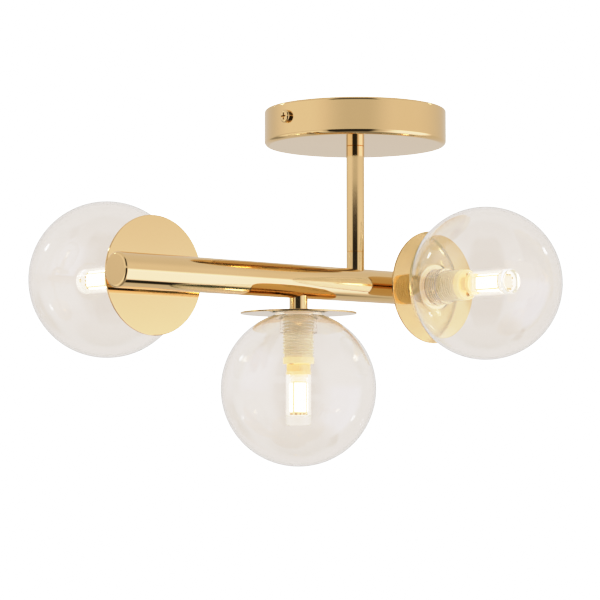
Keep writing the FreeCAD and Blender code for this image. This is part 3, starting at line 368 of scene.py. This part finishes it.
for lamp in LAMPS:
    # the core's post and its foot, with the board that closes its end
    core_piece("light_core_" + lamp, lamp, CORE, [
        ((-4.5, -4.5, 43.4), (4.5, 4.5, 64.2), 0.25, 0.0),
    ], stands_for=True)
    core_piece("light_collar_" + lamp, lamp, COLLAR, [
        ((-5.0, -5.0, 39.0), (5.0, 5.0, 41.2), 0.5, 0.0),
        ((-4.3, -4.3, 40.9), (4.3, 4.3, 43.6), 0.4, 0.0),
        ((-3.9, -3.9, 64.0), (3.9, 3.9, 64.9), 0.3, 0.0),
    ])
    # four panels, each with three rows of chips
    panels = []
    for quarter in (0.0, 90.0, 180.0, 270.0):
        panels.append(((-3.5, 4.4, 44.4), (3.5, 5.0, 62.8), 0.15, quarter))
        for col in (-2.3, 0.0, 2.3):
            for row in range(7):
                z = 45.0 + row * 2.55
                panels.append(((col - 1.0, 4.9, z), (col + 1.0, 5.35, z + 1.9), 0.12, quarter))
    core_piece("light_panels_" + lamp, lamp, LIT, panels)
    # small parts on the end board
    parts = []
    for quarter in (0.0, 90.0, 180.0, 270.0):
        parts.append(((-3.4, 4.3, 63.3), (-1.7, 5.1, 64.9), 0.15, quarter))
        parts.append(((-0.4, 4.3, 63.5), (0.7, 5.0, 64.8), 0.15, quarter))
        parts.append(((1.9, 4.3, 63.4), (3.3, 5.0, 64.7), 0.15, quarter))
    core_piece("light_parts_" + lamp, lamp, PARTS, parts)


# ------------------------------------------------------------------ stage: pale floor, soft studio
def add_mesh(name, verts, faces):
    me = bpy.data.meshes.new(name)
    me.from_pydata(verts, [], faces)
    me.update()
    ob = bpy.data.objects.new(name, me)
    scene.collection.objects.link(ob)
    return ob


FLOOR_Z = -1.2
floor = add_mesh("floor", [(-40, -40, FLOOR_Z), (40, -40, FLOOR_Z), (40, 40, FLOOR_Z), (-40, 40, FLOOR_Z)], [(0, 1, 2, 3)])
fm = Mat("floor_pale")
fm.principled(
    Base_Color=fm.ramp(fm.noise(1.5, 3.0), [(0.3, (0.86, 0.86, 0.86)), (0.7, (0.88, 0.88, 0.88))]),
    Roughness=0.6,
    Emission_Color=(1.0, 1.0, 1.0, 1.0),
    Emission_Strength=1.1,
)
paint(floor, fm.m)
# The floor is the backdrop only: the studio below lights the metal in its place.
floor.visible_glossy = False
floor.visible_diffuse = False
floor.visible_shadow = False
floor.visible_transmission = False


# Every light is scaled by this, so that white paper sits at 1 before the print curve.
KEY = 1.0 / 2.17


class Studio:
    """The room's light by direction: az is 0 towards the front of the set and grows to its right, el is above the horizon."""

    FRONT = math.radians(AZ + YAW)

    def __init__(self):
        self.world = bpy.data.worlds.new("studio")
        self.world.use_nodes = True
        scene.world = self.world
        self.t = self.world.node_tree
        self.t.nodes.clear()
        co = self.t.nodes.new("ShaderNodeTexCoord")
        self.dir = co.outputs["Generated"]
        f = self.FRONT
        front = self.front = self.dot((-math.sin(f), -math.cos(f), 0.0))
        right = self.dot((math.cos(f), -math.sin(f), 0.0))
        up = self.dot((0.0, 0.0, 1.0))
        self.az = self.math("MULTIPLY", self.math("ARCTAN2", right, front), 180.0 / math.pi)
        self.el = self.math("MULTIPLY", self.math("ARCSINE", up), 180.0 / math.pi)

    def dot(self, v):
        n = self.t.nodes.new("ShaderNodeVectorMath")
        n.operation = "DOT_PRODUCT"
        self.t.links.new(self.dir, n.inputs[0])
        n.inputs[1].default_value = v
        return n.outputs["Value"]

    def math(self, op, *args, clamp=False):
        n = self.t.nodes.new("ShaderNodeMath")
        n.operation = op
        n.use_clamp = clamp
        for i, a in enumerate(args):
            if hasattr(a, "is_output"):
                self.t.links.new(a, n.inputs[i])
            else:
                n.inputs[i].default_value = a
        return n.outputs["Value"]

    def step(self, x, a, b, c=0.0, d=1.0):
        n = self.t.nodes.new("ShaderNodeMapRange")
        n.interpolation_type = "SMOOTHSTEP"
        self.t.links.new(x, n.inputs["Value"])
        for key, v in (("From Min", a), ("From Max", b), ("To Min", c), ("To Max", d)):
            n.inputs[key].default_value = v
        return n.outputs["Result"]

    def window(self, x, a, b, c, d):
        """0 below a, 1 from b to c, 0 above d."""
        return self.math("MULTIPLY", self.step(x, a, b), self.step(x, c, d, 1.0, 0.0))

    def patch(self, az, el, strength):
        w = self.math("MULTIPLY", self.window(self.az, *az), self.window(self.el, *el))
        return self.math("MULTIPLY", w, strength)


st = Studio()
level = st.math("MULTIPLY", st.step(st.el, 10.0, 60.0, 0.62, 0.70), st.step(st.el, -66.0, -52.0, 0.42, 1.0))
# The large soft box to the right of the set is a little cooler than the room.
softbox = st.patch((30, 60, 96, 114), (-56, -42, -3, 8), 1.0)
level = st.math("ADD", level, st.math("MULTIPLY", softbox, 0.77))
for az_w, el_w, s_w in (
    ((10, 52, 76, 150), (-12, 4, 22, 48), 0.17),
    ((-136, -88, -62, -8), (1, 9, 20, 45), 0.235),
    ((-120, -100, -50, -38), (-48, -30, -10, 2), 0.34),
    ((-118, -116, -114, -112), (23, 25, 28, 30), 8.0),
    ((115, 117, 119, 121), (23, 25, 28, 30), 8.0),
):
    level = st.math("ADD", level, st.patch(az_w, el_w, s_w))
for az_w, el_w, s_w in (
    ((-43, -31, 17, 33), (-66, -50, 6.1, 7.0), 0.95),
    ((-40, -30, 24, 34), (14, 19, 58, 74), 0.85),
    ((98, 108, 126, 140), (-60, -55, -49, -45), 0.97),
    ((-146, -136, -122, -112), (-44, -30, -12, -2), 0.50),
):
    keep_ = st.math("SUBTRACT", 1.0, st.patch(az_w, el_w, s_w))
    level = st.math("MULTIPLY", level, keep_)

level = st.math("MULTIPLY", level, 1.15)
lp = st.t.nodes.new("ShaderNodeLightPath")
through = st.math("MULTIPLY", st.math("GREATER_THAN", lp.outputs["Transmission Depth"], 0.5),
                  st.math("MULTIPLY", st.math("MAXIMUM", st.math("LESS_THAN", lp.outputs["Glossy Depth"], 0.5), st.step(st.front, -0.5, -0.75)),
                          st.math("LESS_THAN", lp.outputs["Diffuse Depth"], 0.5)))
BACK_SEEN, BACK_THROUGH, FILL = 2.6, 0.905, 0.7
seen = lp.outputs["Is Camera Ray"]
level = st.math("MULTIPLY", level, st.math("ADD", 1.0, st.math("MULTIPLY", st.math("GREATER_THAN", lp.outputs["Diffuse Depth"], 0.5), FILL)))
mix1 = st.math("ADD", st.math("MULTIPLY", level, st.math("SUBTRACT", 1.0, through)), st.math("MULTIPLY", through, BACK_THROUGH))
mix2 = st.math("ADD", st.math("MULTIPLY", mix1, st.math("SUBTRACT", 1.0, seen)), st.math("MULTIPLY", seen, BACK_SEEN))
w_bg = st.t.nodes.new("ShaderNodeBackground")
tint = st.t.nodes.new("ShaderNodeMix")
tint.data_type = "RGBA"
st.t.links.new(through, tint.inputs["Factor"])
tint.inputs[7].default_value = (1.0, 0.878, 0.854, 1.0)
cool = st.t.nodes.new("ShaderNodeMix")
cool.data_type = "RGBA"
st.t.links.new(softbox, cool.inputs["Factor"])
cool.inputs[6].default_value = (1.0, 1.0, 1.0, 1.0)
cool.inputs[7].default_value = (0.99, 1.0, 1.28, 1.0)
st.t.links.new(cool.outputs[2], tint.inputs[6])
st.t.links.new(tint.outputs[2], w_bg.inputs["Color"])
st.t.links.new(st.math("MULTIPLY", mix2, KEY), w_bg.inputs["Strength"])
w_out = st.t.nodes.new("ShaderNodeOutputWorld")
st.t.links.new(w_bg.outputs["Background"], w_out.inputs["Surface"])
st.world.cycles.sampling_method = "MANUAL"
st.world.cycles.sample_map_resolution = 1024


# ------------------------------------------------------------------ clear glass needs long paths
scene.cycles.max_bounces = 32
scene.cycles.transmission_bounces = 28
scene.cycles.glossy_bounces = 3
scene.cycles.diffuse_bounces = 4

# ------------------------------------------------------------------ print: even middle tones, a soft shoulder
view = scene.view_settings
view.view_transform = "Standard"
view.look = "None"
view.exposure = 0.0
view.gamma = 1.0
view.use_curve_mapping = True
cm = view.curve_mapping
cm.extend = "HORIZONTAL"
curve = cm.curves[3]
TONE = [(0.0, 0.0), (0.05, 0.04), (0.15, 0.14), (0.30, 0.30), (0.45, 0.45), (0.60, 0.60), (0.77, 0.755), (1.0, 0.86), (1.35, 0.94), (2.17, 1.0)]
TONE = [(x * KEY, y) for x, y in TONE]
while len(curve.points) > 2:
    curve.points.remove(curve.points[1])
curve.points[0].location = TONE[0]
curve.points[1].location = TONE[-1]
for pt in TONE[1:-1]:
    curve.points.new(*pt)
cm.update()
